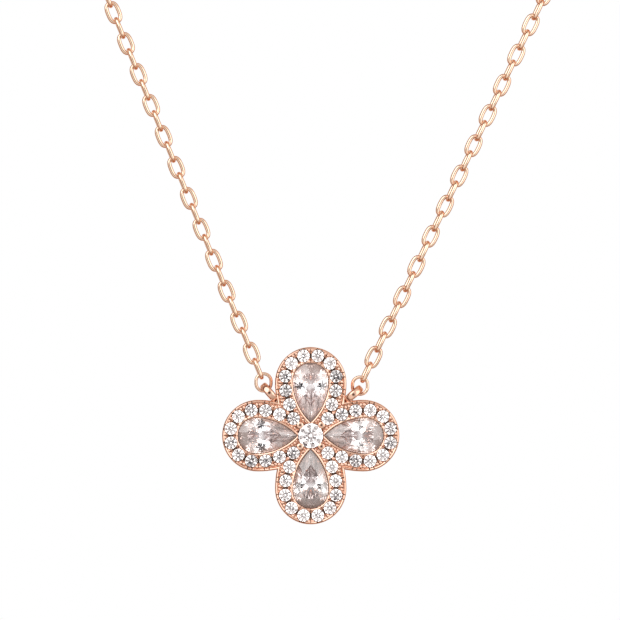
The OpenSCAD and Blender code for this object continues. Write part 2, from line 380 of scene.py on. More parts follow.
def pave_point(s):
    """Point on the line of pave stones, at the length s from the end of the petal."""
    side = -1 if s < 0 else 1
    along = abs(s)
    line = PEAR_R + PAVE_OFFSET
    cap = line * math.pi / 2
    if along < cap:
        a = along / line
        return (PEAR_MID + line * math.cos(a), side * line * math.sin(a))
    big = side_radius(PEAR_R, PEAR_TAPER)
    a = (along - cap) / (big + PAVE_OFFSET)
    return (PEAR_MID - (big + PAVE_OFFSET) * math.sin(a),
            side * ((big + PAVE_OFFSET) * math.cos(a) - (big - PEAR_R)))


PETAL_PLACES = [pave_point((k + 0.5) * PAVE_PITCH) for k in range(-PAVE_SIDE, PAVE_SIDE)]
PAVE_PLACES = [turned(p, turn) for turn in QUARTERS for p in PETAL_PLACES]
PAVE_PLACES += [turned((PAVE_DIAGONAL, 0), turn + 45) for turn in QUARTERS]


def between(a, b, out):
    """Middle of two neighbouring stones, and the way across the gap that points along out."""
    middle = (Vector(a) + Vector(b)) / 2
    along = (Vector(b) - Vector(a)).normalized()
    across = Vector((along.y, -along.x))
    return middle, across if across.dot(Vector(out)) > 0 else -across


def petal_gaps():
    """Middle and outward way of each gap between two pave stones of a petal."""
    found = []
    for turn in QUARTERS:
        heart = Vector(turned((PEAR_MID - 0.6, 0), turn))
        places = [turned(p, turn) for p in PETAL_PLACES]
        for a, b in zip(places, places[1:]):
            found.append(between(a, b, (Vector(a) + Vector(b)) / 2 - heart))
    return found


def corner_gaps():
    """Gaps between a diagonal stone and the last stones of the two petals beside it."""
    found = []
    for turn in QUARTERS:
        diagonal = turned((PAVE_DIAGONAL, 0), turn + 45)
        after = turned(PETAL_PLACES[0], turn + 90)
        before = turned(PETAL_PLACES[-1], turn)
        found.append(between(diagonal, before, turned((1, 0), turn)))
        found.append(between(diagonal, after, turned((1, 0), turn + 90)))
    return found


# Nodes

def fill(tree, node, **values):
    """Sets a node up: names in small letters are its settings, and the others its inputs, with _ for a space.

    An input takes a number, a vector, a colour as a plain triple, or another node's output."""
    for name, value in values.items():
        if name[0].islower():
            setattr(node, name, value)
            continue
        socket = node.inputs[name.replace("_", " ")]
        if isinstance(value, bpy.types.NodeSocket):
            tree.links.new(value, socket)
        elif value is not None:
            socket.default_value = (*value, 1) if isinstance(value, tuple) else value
    return node


def new_node(tree, kind, output, **values):
    """One output of a new node that is set up with the values."""
    return fill(tree, tree.nodes.new(kind), **values).outputs[output]


def new_material(name):
    """A material with its nodes, its shader and the place in the object's own space."""
    material = bpy.data.materials.new(name)
    material.use_nodes = True
    tree = material.node_tree
    return material, tree, tree.nodes["Principled BSDF"], new_node(tree, "ShaderNodeTexCoord", "Object")


def ramp(tree, stops, fac):
    """Colour ramp with the stops, driven by fac."""
    node = fill(tree, tree.nodes.new("ShaderNodeValToRGB"), Fac=fac)
    elements = node.color_ramp.elements
    while len(elements) < len(stops):
        elements.new(1.0)
    for element, (place, colour) in zip(elements, stops):
        element.position = place
        element.color = (*colour, 1)
    return node.outputs["Color"]


def mix(tree, fac, a, b, blend="MIX"):
    """Mix of two outputs or plain colours."""
    return new_node(tree, "ShaderNodeMix", "Result", data_type="RGBA", blend_type=blend, Factor=fac, A=a, B=b)


def multiplied(tree, first, *others):
    for other in others:
        first = mix(tree, 1, first, other, "MULTIPLY")
    return first


def maths(tree, operation, *values):
    """Result of a sum on outputs or plain numbers."""
    node = tree.nodes.new("ShaderNodeMath")
    node.operation = operation
    for socket, value in zip(node.inputs, values):
        if isinstance(value, (int, float)):
            socket.default_value = value
        else:
            tree.links.new(value, socket)
    return node.outputs["Value"]


def split(tree, vector):
    return fill(tree, tree.nodes.new("ShaderNodeSeparateXYZ"), Vector=vector).outputs


def noise(tree, vector, scale, detail):
    return new_node(tree, "ShaderNodeTexNoise", "Fac", Vector=vector, Scale=scale, Detail=detail)


def cells(tree, vector, scale):
    """Cells of a random tone each."""
    colour = new_node(tree, "ShaderNodeTexVoronoi", "Color", Vector=vector, Scale=scale)
    return new_node(tree, "ShaderNodeSeparateColor", "Red", Color=colour)


def ranged(tree, value, low, high, to_low=0.0, to_high=1.0, kind="LINEAR"):
    """The value spread from low and high to to_low and to_high."""
    return new_node(tree, "ShaderNodeMapRange", "Result", interpolation_type=kind, Value=value,
                    From_Min=low, From_Max=high, To_Min=to_low, To_Max=to_high)


def bump(tree, height, strength, distance, normal=None):
    return new_node(tree, "ShaderNodeBump", "Normal", Height=height, Strength=strength, Distance=distance,
                    Normal=normal)


def kept_value(tree, name, output="Fac"):
    """What the mesh keeps under the name for each of its points or faces."""
    return new_node(tree, "ShaderNodeAttribute", output, attribute_name=name)


# Gold

# Painted shade: the deeper tone of the recessed field between the beads
FIELD_SHADE = (0.50, 0.25, 0.17)
FIELD_Y = (FLOWER_AT.y - FIELD_Z) * MM
# Painted shade: the deeper tone of the links' ends where they meet, and of the end rings' limbs beside the
# flower
END_SHADE = (0.80, 0.40, 0.25)


def rose_gold(name, light, dark, roughness, marks, field=None, ends=False):
    """Polished rose gold: slightly uneven colour and gloss, with fine polishing marks.

    Where the object's own Y is the field's, the metal is grained between the beads and deeper in tone,
    painted shade of the recess.
    With ends, it also gets painted shade: deeper in tone by the share that the mesh keeps for each point."""
    material, tree, shader, place = new_material(name)
    cloud = noise(tree, place, scale=900, detail=3)
    tone = ramp(tree, [(0.35, dark), (0.65, light)], cloud)
    normal = bump(tree, noise(tree, place, scale=9000, detail=2), marks, 0.002 * MM)
    if field is not None:
        on_field = maths(tree, "COMPARE", split(tree, place)["Y"], field, 0.01 * MM)
        # Painted shade in the recess of the field
        tone = mix(tree, on_field, tone, FIELD_SHADE)
        grain = new_node(tree, "ShaderNodeTexVoronoi", "Distance", Vector=place, Scale=5500)
        normal = bump(tree, grain, on_field, 0.09 * MM, normal)
    if ends:
        # Painted shade at the ends of the links and on the end rings' limbs beside the flower
        tone = mix(tree, kept_value(tree, "painted_shade_share"), tone, END_SHADE)
    uneven = ranged(tree, cloud, 0, 1, roughness * 0.7, roughness * 1.3)
    fill(tree, shader, Metallic=1, Base_Color=tone, Roughness=uneven, Normal=normal)
    return material


# Stones, whose patterns are painted light and reflections of their facets: colours of a pear stone by the
# angle about its heart from the round end to the tip, along its lines, by its cells, about its stars and from
# its edge; then tones from facet to facet, and marks of round stones

HEART = 3.05
BELT_CORE = 0.48
STAR_OUT = 0.98
PEAR_TINT = [(0.20, (0.86, 0.79, 0.78)), (0.30, (1, 1, 1)), (0.70, (1, 1, 1)), (0.80, (0.86, 0.79, 0.78))]
PEAR_SECTORS = [
    (0.00, (0.35, 0.28, 0.27)),
    (0.27, (0.38, 0.31, 0.30)),
    (0.33, (0.98, 0.97, 0.97)),
    (0.59, (0.98, 0.97, 0.97)),
    (0.65, (0.28, 0.21, 0.20)),
    (0.84, (0.36, 0.29, 0.28)),
    (1.00, (0.38, 0.32, 0.31)),
]
PEAR_LINES = [(0.30, (0.62, 0.58, 0.57)), (0.50, (0.88, 0.86, 0.86)), (0.68, (1, 1, 1))]
PEAR_STREAKS = [(0.41, (0.24, 0.21, 0.21)), (0.49, (0.74, 0.71, 0.71)), (0.54, (1, 1, 1))]
PEAR_SHARDS = [(0.00, (0.70, 0.69, 0.69)), (0.35, (0.80, 0.79, 0.79)), (0.60, (1, 1, 1))]
PEAR_STAR = [(0.66, (0.01, 0.01, 0.012)), (0.76, (0.12, 0.12, 0.13)), (0.82, (1, 1, 1))]
PEAR_EDGE = [(0.00, (0.52, 0.36, 0.30)), (0.12, (0.76, 0.66, 0.62)), (0.28, (1, 1, 1))]
PEAR_TONES = [(0.00, (0.74, 0.73, 0.73)), (0.70, (1, 1, 1))]
ROUND_TINT = [(0.30, (0.95, 0.895, 0.875)), (0.70, (1, 0.955, 0.94))]
ROUND_TONES = [
    (0.00, (0.10, 0.10, 0.11)),
    (0.14, (0.20, 0.20, 0.21)),
    (0.18, (0.85, 0.85, 0.86)),
    (0.60, (1, 1, 1)),
]
ROUND_SPECKS = [
    (0.00, (0.02, 0.02, 0.03)),
    (0.22, (0.08, 0.08, 0.09)),
    (0.26, (0.80, 0.80, 0.81)),
    (0.60, (1, 1, 1)),
]
ROUND_MARKS = [(0.00, (0.05, 0.05, 0.06)), (0.08, (0.15, 0.15, 0.16)), (0.11, (1, 1, 1))]
ROUND_CLEAR = [(0.38, (1.1, 1.1, 1.1)), (0.62, (1.9, 1.9, 1.9))]


def stone_shader(name, clear, glow):
    """Glass whose back facets keep a faint light of their own, in place of the light that long paths lose."""
    material, tree, shader, place = new_material(name)
    fill(tree, shader, Roughness=0, IOR=2.15, Transmission_Weight=clear, Emission_Strength=glow)
    return material, tree, shader, place


def paint_stone(tree, shader, tint, inner, tones):
    """Sets the tint of the glass and the painted glow of its back facets, which differ in tone among
    themselves.
    """
    inner = multiplied(tree, inner, ramp(tree, tones, kept_value(tree, "facet_tone")))
    inner = mix(tree, kept_value(tree, "back_facet"), (0, 0, 0), inner)
    fill(tree, shader, Base_Color=tint, Emission_Color=inner)


def round_stone(name, glow):
    """Bright round stone with a faint cloud in its tint and painted dark specks for facets that reflect the
    dark, some clearer and brighter in their painted glow and some with more specks.
    """
    material, tree, shader, place = stone_shader(name, 0.97, glow)
    tint = ramp(tree, ROUND_TINT, noise(tree, place, scale=700, detail=2))
    own = noise(tree, place, scale=600, detail=0)
    fleck = maths(tree, "MULTIPLY_ADD", own, 0.4, cells(tree, place, scale=5200))
    fleck = maths(tree, "SUBTRACT", fleck, 0.2)
    inner = multiplied(tree, tint, ramp(tree, ROUND_SPECKS, fleck), ramp(tree, ROUND_CLEAR, own))
    tint = multiplied(tree, tint, ramp(tree, ROUND_MARKS, fleck))
    paint_stone(tree, shader, tint, inner, ROUND_TONES)
    return material


def pear_stone(name):
    """Pear-cut stone, painted with the light and reflections of its facets: a bright belt across its widest
    part with a dark star at each end, and mauve ends with fine lines towards the tip."""
    material, tree, shader, place = stone_shader(name, 0.96, 0.4)

    def calc(*terms):
        return maths(tree, *terms)

    along, across, inside = split(tree, kept_value(tree, "stone_place", "Vector"))
    beside = calc("ABSOLUTE", across)
    past = calc("SUBTRACT", along, HEART)
    turn = calc("ARCTAN2", calc("ADD", beside, BELT_CORE), past)
    patch = calc("MULTIPLY", noise(tree, place, scale=1900, detail=3), 0.22)
    sector = calc("MULTIPLY_ADD", turn, 1 / math.pi, patch)
    body = ramp(tree, PEAR_SECTORS, calc("SUBTRACT", sector, 0.11))

    fan = calc("ARCTAN2", across, calc("ADD", along, 0.6))
    spread = new_node(tree, "ShaderNodeCombineXYZ", "Vector", X=calc("MULTIPLY", fan, 9),
                      Y=calc("MULTIPLY", along, 0.5))
    fine = noise(tree, spread, scale=1, detail=3)
    lines = ramp(tree, PEAR_LINES, fine)
    in_tip = ranged(tree, past, -0.15, -0.45)
    streaks = mix(tree, in_tip, (1, 1, 1), ramp(tree, PEAR_STREAKS, fine))

    folded = new_node(tree, "ShaderNodeCombineXYZ", "Vector", X=calc("MULTIPLY", along, 2.3),
                      Y=calc("MULTIPLY", beside, 3.4))
    shards = ramp(tree, PEAR_SHARDS, cells(tree, folded, scale=1))

    out = calc("SUBTRACT", beside, STAR_OUT)
    away = calc("SQRT", calc("MULTIPLY_ADD", out, out, calc("POWER", past, 2)))
    spokes = calc("SINE", calc("MULTIPLY", calc("ARCTAN2", past, out), 7))
    broken = calc("MULTIPLY_ADD", noise(tree, place, scale=5200, detail=1), 0.9, away)
    ragged = ramp(tree, PEAR_STAR, calc("MULTIPLY_ADD", spokes, 0.12, broken))
    star = mix(tree, kept_value(tree, "star_share"), (1, 1, 1), ragged)

    edge = ramp(tree, PEAR_EDGE, inside)
    inner = multiplied(tree, body, lines, shards, star, edge, kept_value(tree, "painted_light_share"))
    tint = multiplied(tree, ramp(tree, PEAR_TINT, sector), star, edge, streaks)
    paint_stone(tree, shader, tint, inner, PEAR_TONES)
    return material


SETTING_GOLD = rose_gold("setting_gold", light=(0.81, 0.55, 0.435), dark=(0.73, 0.46, 0.355),
                         roughness=0.15, marks=0.10, field=FIELD_Y)
CHAIN_GOLD = rose_gold("chain_gold", light=(0.87, 0.67, 0.53), dark=(0.81, 0.59, 0.46),
                       roughness=0.14, marks=0.08, ends=True)
CLASP_GOLD = rose_gold("clasp_gold", light=(0.90, 0.65, 0.52), dark=(0.85, 0.58, 0.45),
                       roughness=0.18, marks=0.12)
PEAR_STONE = pear_stone("pear_stone")
ROUND_STONE = round_stone("round_stone", glow=0.29)
PAVE_STONE = round_stone("pave_stone", glow=0.16)


# Shapes that repeat: a tree puts one of them on each of many points

def points_tree(name, *numbers):
    """A tree with an input for each of the numbers; also its start and the keys of those inputs."""
    tree = bpy.data.node_groups.new(name, "GeometryNodeTree")
    tree.interface.new_socket("Geometry", in_out="INPUT", socket_type="NodeSocketGeometry")
    keys = [tree.interface.new_socket(number, in_out="INPUT", socket_type="NodeSocketFloat").identifier
                   for number in numbers]
    tree.interface.new_socket("Geometry", in_out="OUTPUT", socket_type="NodeSocketGeometry")
    return tree, tree.nodes.new("NodeGroupInput").outputs, keys


def put_shape(tree, shape, material, points, rotation, scale=None):
    """Ends the tree: the shape on each point, made real, in its material."""
    source = new_node(tree, "GeometryNodeObjectInfo", "Geometry", Object=shape)
    put = new_node(tree, "GeometryNodeInstanceOnPoints", "Instances", Points=points, Instance=source,
                   Rotation=rotation, Scale=scale)
    real = new_node(tree, "GeometryNodeRealizeInstances", "Geometry", Geometry=put)
    paint = new_node(tree, "GeometryNodeSetMaterial", "Geometry", Geometry=real, Material=material)
    fill(tree, tree.nodes.new("NodeGroupOutput"), Geometry=paint)


def grown(holder, tree, keys, values):
    """Plain mesh of what the tree makes of the holder, with a value for each of its inputs."""
    modifier = holder.modifiers.new("grow", "NODES")
    modifier.node_group = tree
    for key, value in zip(keys, values):
        modifier[key] = value
    mesh = applied(holder)
    holder.modifiers.remove(modifier)
    bpy.data.objects.remove(holder)
    return mesh


def scatter_tree(name, shape, material):
    """Tree that puts the shape on each point in its own size, tilted and turned a little at random."""
    tree, start, keys = points_tree(name, "Most tilt", "Most turn")
    own = new_node(tree, "GeometryNodeInputNamedAttribute", "Attribute", data_type="FLOAT", Name="own_size")
    most = new_node(tree, "ShaderNodeCombineXYZ", "Vector", X=start["Most tilt"], Y=start["Most turn"],
                    Z=start["Most tilt"])
    least = new_node(tree, "ShaderNodeVectorMath", "Vector", operation="SCALE", Vector=most, Scale=-1)
    chance = new_node(tree, "FunctionNodeRandomValue", "Value", data_type="FLOAT_VECTOR", Min=least,
                      Max=most, Seed=11)
    lean = new_node(tree, "FunctionNodeEulerToRotation", "Rotation", Euler=chance)
    put_shape(tree, shape, material, start["Geometry"], lean, own)
    return tree, keys


def scattered(name, points, sizes, shape, material, tilt=0.0, turn=0.0):
    """A plain mesh of the shape at each of the points, in its own size, then the shape's object goes."""
    tree, keys = scatter_tree(name + "_tree", shape, material)
    holder = new_object(name + "_points", mesh_from(name + "_points", points, []))
    keep_values(holder.data, "own_size", sizes)
    mesh = grown(holder, tree, keys, (tilt, turn))
    bpy.data.objects.remove(shape)
    return mesh


def chain_tree(name, shape, material):
    """Tree that sets a link on each point of a curve, a quarter turned from the one before, after a twist."""
    tree, start, keys = points_tree(name, "Quarter turn", "Number of the first", "Twist of all")
    upright = new_node(tree, "GeometryNodeSetCurveNormal", "Curve", mode="Z_UP", Curve=start["Geometry"])
    points = fill(tree, tree.nodes.new("GeometryNodeCurveToPoints"), mode="EVALUATED", Curve=upright).outputs
    index = new_node(tree, "GeometryNodeInputIndex", "Index")
    number = maths(tree, "ADD", index, start["Number of the first"])
    turn = maths(tree, "MULTIPLY_ADD", number, start["Quarter turn"], start["Twist of all"])
    spin = new_node(tree, "FunctionNodeAxisAngleToRotation", "Rotation", Axis=Vector((0, 0, 1)), Angle=turn)
    rotate = new_node(tree, "FunctionNodeRotateRotation", "Rotation", rotation_space="LOCAL",
                      Rotation=points["Rotation"], Rotate_By=spin)
    put_shape(tree, shape, material, points["Points"], rotate)
    return tree, keys


# The setting

def setting_plate():
    """The plate with its rim, as one closed shape: profile steps are growth of the outline and depth."""
    steps = [(-0.16, BACK_Z), (-0.05, BACK_Z + 0.04), (0, BACK_Z + 0.16), (0, RIM_Z - 0.13),
             (-0.02, RIM_Z - 0.08), (-0.08, RIM_Z - 0.03), (-0.12, RIM_Z - 0.01), (-0.18, RIM_Z - 0.035),
             (-RIM_W + 0.005, RIM_Z - 0.06), (-RIM_W, RIM_Z - 0.10), (-RIM_W, FIELD_Z)]
    return solid("plate", [ring_at(flower_outline(grow), z) for grow, z in steps])


def seat_steps(opening, ledge_z, r):
    """Profile of a stone's seat, as radius and depth: the opening behind it, its ledge and its wall."""
    wall = r + SEAT_GAP
    return [(opening, UNDER_Z), (opening, ledge_z), (wall, ledge_z), (wall, OVER_Z)]


def round_cutter(x, y, steps, sides=32, point=flower_point):
    """Stepped round cutter: each step is a radius and a depth."""
    return solid("cutter", [ring_at([(x + p, y + q) for p, q in round_outline(r, sides)], z, point)
                            for r, z in steps])


def box_cutter(middle, out, width, length, low):
    """A straight cut along the way out, in the flower's plane."""
    along = Vector((-out.y, out.x))
    corners = [middle + along * a * width / 2 + out * b * length / 2 for a, b in SQUARE]
    return solid("slit", [ring_at(corners, z) for z in (low, OVER_Z)])


def pear_rings(turn, steps):
    """Rings about one pear stone: each step is growth of its outline and depth."""
    return [ring_at([turned(p, turn) for p in pear_outline(PEAR_MID, PEAR_R, PEAR_TAPER, grow)], z)
            for grow, z in steps]


def bezel(turn):
    """The thin upright wall round a pear stone, with a rounded lip that leans in a little."""
    outer = SEAT_GAP + BEZEL_W
    foot = FIELD_Z - 0.1
    steps = [(SEAT_GAP, foot), (outer, foot), (outer, RIM_Z - 0.07), (outer - 0.01, RIM_Z - 0.04),
             (outer - 0.07, RIM_Z - 0.01), (SEAT_GAP + 0.01, RIM_Z - 0.04), (SEAT_GAP, RIM_Z - 0.07)]
    return solid("bezel", pear_rings(turn, steps), closed=True)


def revolved(name, profile, centre, across, around, sides):
    """A ring turned round the axis across through the centre; profile steps are radius and place along it."""
    third = across.cross(around)
    rings = [[(centre + across * h + (around * p + third * q) * r) * MM for p, q in round_outline(1, sides)]
             for r, h in profile]
    return solid(name, rings, closed=True)


def bail(place):
    """A soldered ring of flat band with rounded edges, its plane through the front to back way."""
    x, up, turn = place
    a = math.radians(turn)
    around = Vector((math.cos(a), 0, math.sin(a)))
    across = Vector((-math.sin(a), 0, math.cos(a)))
    half = BAIL_W / 2
    outer = BAIL_D / 2
    inner = outer - BAIL_T
    steps = [(inner, half - 0.05), (inner + 0.05, half), (outer - 0.15, half), (outer - 0.10, half - 0.015),
             (outer - 0.045, half - 0.06), (outer - 0.015, half - 0.12), (outer, half - 0.17)]
    return revolved("bail", both_sides(steps), FLOWER_AT + Vector((x, 0, up)), across, around, 64)


def rim_notches():
    """Small slots across the rim, two beside the outermost point of each petal stone."""
    found = []
    for turn in QUARTERS:
        heart = Vector(turned((PETAL_MID, 0), turn))
        for k in range(1, len(PETAL_PLACES) - 1):
            stone = Vector(turned(PETAL_PLACES[k], turn))
            along = Vector(turned(PETAL_PLACES[k + 1], turn)) - Vector(turned(PETAL_PLACES[k - 1], turn))
            along.normalize()
            out = Vector((along.y, -along.x))
            on_cap = PETAL_PLACES[k][0] > PETAL_MID
            to_edge = PETAL_R - (stone - heart).length if on_cap else PETAL_R - PEAR_R - PAVE_OFFSET
            for side in (-1, 1):
                place = stone + out * (to_edge - NOTCH_IN) + along * side * NOTCH_ALONG
                found.append(box_cutter(place, out, NOTCH_W, NOTCH_L, FIELD_Z - CUT_DEPTH))
    return found


def bead_places():
    """Places and sizes of the beads: two at each end of every gap, and more round the diagonal stones."""
    found = []
    for middle, out in petal_gaps():
        along = Vector((-out.y, out.x))
        for side in (-1, 1):
            found.append((middle + along * side * BEAD_APART + out * BEAD_OUT, 1.0))
            found.append((middle + along * side * BEAD_APART - out * BEAD_IN, 1.0))
    for middle, out in corner_gaps():
        along = Vector((-out.y, out.x))
        for side in (-1, 1):
            found.append((middle + along * side * CORNER_APART + out * CORNER_OUT, CORNER_SIZE))
    for turn in QUARTERS:
        for place, size in EXTRA_BEADS:
            for side in (-1, 1) if place[1] else (1,):
                found.append((Vector(turned((place[0], side * place[1]), turn + 45)), size))
    return found


def ball(name, r, flat, sides, rows):
    """A ball with its poles to the front and back, flattened there by the share flat."""
    work = bmesh.new()
    bmesh.ops.create_uvsphere(work, u_segments=sides, v_segments=rows, radius=r)
    bmesh.ops.scale(work, verts=work.verts, vec=(1, 1, flat))
    bmesh.ops.rotate(work, verts=work.verts, cent=(0, 0, 0), matrix=Matrix.Rotation(math.pi / 2, 3, "X"))
    return finished(name, work)


def prong(x, y):
    """A flattened bead, and the post that it stands on."""
    head = ball("prong", PRONG_R * MM, PRONG_FLAT, 24, 16)
    head.transform(Matrix.Translation(flower_point(x, y, PRONG_Z)))
    return [head, round_cutter(x, y, [(PRONG_POST_R, PRONG_FOOT_Z), (PRONG_POST_R, PRONG_Z - 0.02)], 24)]


def make_setting():
    gaps = petal_gaps()
    plate = cut(setting_plate(), [bezel(turn) for turn in QUARTERS], "UNION")
    plate = cut(plate, [bail(BAIL_LEFT), bail(BAIL_RIGHT)], "UNION")
    seat = seat_steps(-PEAR_OPEN, PEAR_LEDGE_Z, 0)
    plate = cut(plate, [solid("pear_cutter", pear_rings(turn, seat)) for turn in QUARTERS])
    plate = cut(plate, [round_cutter(0, 0, seat_steps(CENTRE_OPEN_R, CENTRE_LEDGE_Z, CENTRE_R), 64)])
    seat = seat_steps(PAVE_OPEN_R, PAVE_LEDGE_Z, PAVE_R)
    plate = cut(plate, [round_cutter(x, y, seat) for x, y in PAVE_PLACES])
    plate = cut(plate, [box_cutter(middle, out, SLIT_W, SLIT_L, 0.0) for middle, out in gaps + corner_gaps()])
    plate = cut(plate, [box_cutter(middle + out * GROOVE_OUT, out, GROOVE_W, GROOVE_L, FIELD_Z - CUT_DEPTH)
                        for middle, out in gaps])
    plate = cut(plate, rim_notches())
    bead = new_object("bead_shape", ball("bead", BEAD_R * MM, BEAD_FLAT, 10, 6))
    places = bead_places()
    points = [flower_point(p.x, p.y, FIELD_Z + BEAD_RISE) for p, size in places]
    beads = scattered("beads", points, [size for p, size in places], bead, SETTING_GOLD)
    spots = [turned((PRONG_AT, 0), turn + 45) for turn in QUARTERS]
    bay = [(BAY_R, FIELD_Z - BAY_DEPTH), (BAY_R, OVER_Z)]
    plate = cut(plate, [round_cutter(x, y, bay) for x, y in spots])
    prongs = [shape for x, y in spots for shape in prong(x, y)]
    mesh = join("flower_setting_dressed", [plate, beads] + prongs)
    smooth(mesh, 32, SETTING_GOLD)
    dress("flower_setting_dressed", mesh, "pendant", "flower_setting")


# Stones

def brilliant(outline, crown, pavilion, table, girdle, middle=(0, 0), culet=(0, 0), keel=None):
    """Points and faces of a brilliant cut over an outline, in the flower's plane, its girdle at depth 0.

    The table is drawn in about the middle and the pavilion about the culet. The keel points, one for each
    second point of the outline, are a quarter of the way out from the culet unless they are given."""
    n = len(outline)
    m = n // 2
    bend = math.cos(math.pi / m)

    def inset(first, k, z, about):
        a, b = about
        return [(a + (x - a) * k, b + (y - b) * k, z) for x, y in outline[first::2]]

    star_k = (1 + table) / 2
    points = inset(0, table, crown, middle)
    points += inset(1, star_k, crown * (1 - bend * star_k) / (1 - table), middle)
    points += [(x, y, 0) for x, y in outline]
    points += [(x, y, -girdle) for x, y in outline]
    points += keel or inset(1, 0.25, -girdle - pavilion * (1 - bend * 0.25), culet)
    points += [(culet[0], culet[1], -girdle - pavilion)]
    star = m
    top = 2 * m
    low = top + n
    deep = low + n
    end = deep + m
    faces = [tuple(range(m))]
    for j in range(m):
        before = (j - 1) % m
        after = (j + 1) % m
        g = 2 * j
        faces.append((j, star + j, after))
        faces.append((j, star + before, top + g, star + j))
        faces.append((top + g, top + g + 1, star + j))
        faces.append((top + g + 1, top + (g + 2) % n, star + j))
        faces.append((low + g + 1, low + g, deep + j))
        faces.append((low + (g + 2) % n, low + g + 1, deep + j))
        faces.append((deep + before, end, deep + j, low + g))
    for i in range(n):
        k = (i + 1) % n
        faces.append((top + i, low + i, low + k, top + k))
    return points, faces


def mark_facets(mesh, girdle_y, seed):
    """Marks the facets behind the girdle, and gives each of them a tone at random."""
    chance = random.Random(seed)
    back = [1.0 if face.center.y > girdle_y else 0.0 for face in mesh.polygons]
    tones = [chance.random() if at_back else 1.0 for at_back in back]
    keep_values(mesh, "back_facet", back, "FACE")
    keep_values(mesh, "facet_tone", tones, "FACE")


def stone_mesh(name, shape, turn, z, girdle, seed):
    points, faces = shape
    mesh = mesh_from(name, [flower_point(*turned((x, y), turn), h + z) for x, y, h in points], faces)
    outward(mesh)
    mark_facets(mesh, (FLOWER_AT.y - z + girdle) * MM, seed)
    return mesh


def reach_to(way, a, b):
    """Length along the way at which it crosses the piece of outline from a to b, or 0."""
    unit = way.normalized()
    side = b - a
    cross = unit.x * side.y - unit.y * side.x
    if abs(cross) < 1e-9:
        return 0.0
    length = (a.x * side.y - a.y * side.x) / cross
    along = (a.x * unit.y - a.y * unit.x) / cross
    return length if length > 0 and -1e-6 <= along <= 1 + 1e-6 else 0.0


def edge_share(x, y):
    """How far a place lies from the table's middle towards the pear stone's edge, from 0 to 1."""
    way = Vector((x - PEAR_TABLE_X, y))
    if way.length < 0.01:
        return 0.0
    middle = Vector((PEAR_TABLE_X, 0))
    reach = max(reach_to(way, Vector(a) - middle, Vector(b) - middle)
                for a, b in zip(PEAR_EDGE_LINE, PEAR_EDGE_LINE[1:] + PEAR_EDGE_LINE[:1]))
    return min(1.0, way.length / reach)


def mark_places(mesh, turn, star_share, painted_light_share):
    """Keeps at each point its place in the stone: along it from the tip, across it, and from 0 at its edge to
    1; and for the stone as a whole how dark its painted stars are and how light its ends, by the strength of
    its painted light."""
    places = []
    for vertex in mesh.vertices:
        co = vertex.co / MM - FLOWER_AT
        x, y = turned((co.x, co.z), -turn)
        places += [x - (PEAR_MID - PEAR_TAPER), y, 1 - edge_share(x, y)]
    mesh.attributes.new("stone_place", "FLOAT_VECTOR", "POINT").data.foreach_set("vector", places)
    for name, value in (("star_share", star_share), ("painted_light_share", painted_light_share)):
        keep_values(mesh, name, [value] * len(mesh.vertices))


# The pear stones by name, how dark their painted stars are and how light their ends, as a share of their
# painted light
PEARS = [("right", 0.75, 1.1), ("top", 1.0, 1.6), ("left", 1.0, 1.15), ("bottom", 0.9, 0.8)]
PEAR_EDGE_LINE = pear_outline(PEAR_MID, PEAR_R, PEAR_TAPER, 0, 7, 14)
PEAR_EDGE_LINE = PEAR_EDGE_LINE[-1:] + PEAR_EDGE_LINE[:-1]


def pear_keel():
    """Keel points of a pear stone, further out and so under steeper facets at its two sides."""
    points = []
    for x, y in PEAR_EDGE_LINE[1::2]:
        way = Vector((x - PEAR_CULET_X, y))
        out = KEEL_SIDES if abs(way.y) > 0.85 * way.length else KEEL_ENDS
        points.append((PEAR_CULET_X + way.x * out, way.y * out, -PEAR_GIRDLE - KEEL_DROP))
    return points


def make_pears():
    shape = brilliant(PEAR_EDGE_LINE, crown=0.40, pavilion=1.20, table=0.58, girdle=PEAR_GIRDLE,
                      middle=(PEAR_TABLE_X, 0), culet=(PEAR_CULET_X, 0), keel=pear_keel())
    for q, (name, star_share, painted_light_share) in enumerate(PEARS):
        mesh = stone_mesh("pear_" + name, shape, QUARTERS[q], PEAR_GIRDLE_Z, PEAR_GIRDLE, seed=q)
        mark_places(mesh, QUARTERS[q], star_share, painted_light_share)
        dress("pear_" + name + "_cut", mesh, "pendant", "pear_stone_" + name, PEAR_STONE)


def make_centre():
    shape = brilliant(round_outline(CENTRE_R, 16), crown=0.34, pavilion=0.88, table=0.56,
                      girdle=CENTRE_GIRDLE)
    mesh = stone_mesh("centre", shape, CENTRE_TURN, CENTRE_GIRDLE_Z, CENTRE_GIRDLE, seed=4)
    dress("centre_cut", mesh, "pendant", "centre_stone", ROUND_STONE)


def make_pave():
    points, faces = brilliant(round_outline(PAVE_R, 16), crown=0.155, pavilion=0.44, table=0.57,
                              girdle=PAVE_GIRDLE)
    mesh = mesh_from("pave_shape", [nape_point(*p) for p in points], faces)
    outward(mesh)
    mark_facets(mesh, PAVE_GIRDLE * MM, seed=7)
    places = [flower_point(x, y, PAVE_GIRDLE_Z) for x, y in PAVE_PLACES]
    mesh = scattered("pave", places, [1.0] * len(places), new_object("pave_shape", mesh), PAVE_STONE,
                     STONE_TILT, math.pi)
    dress("pave_stones_cut", mesh, "pendant", "pave_stones")


# Chain

def oval_ring(name, length, width, wire, bends, sides):
    """A ring along Z in the XZ plane: straight sides, round ends, round wire."""
    r = (width - wire) / 2
    straight = (length - width) / 2
    rings = []
    for first, shift in ((0, straight), (math.pi, -straight)):
        for i in range(bends + 1):
            a = first + math.pi * i / bends
            out = Vector((math.cos(a), 0, math.sin(a)))
            middle = Vector((r * math.cos(a), 0, r * math.sin(a) + shift))
            rings.append([(middle + (out * p + Vector((0, 1, 0)) * q) * wire / 2) * MM
                          for p, q in round_outline(1, sides)])
    mesh = solid(name, rings, closed=True)
    mesh.shade_smooth()
    return mesh


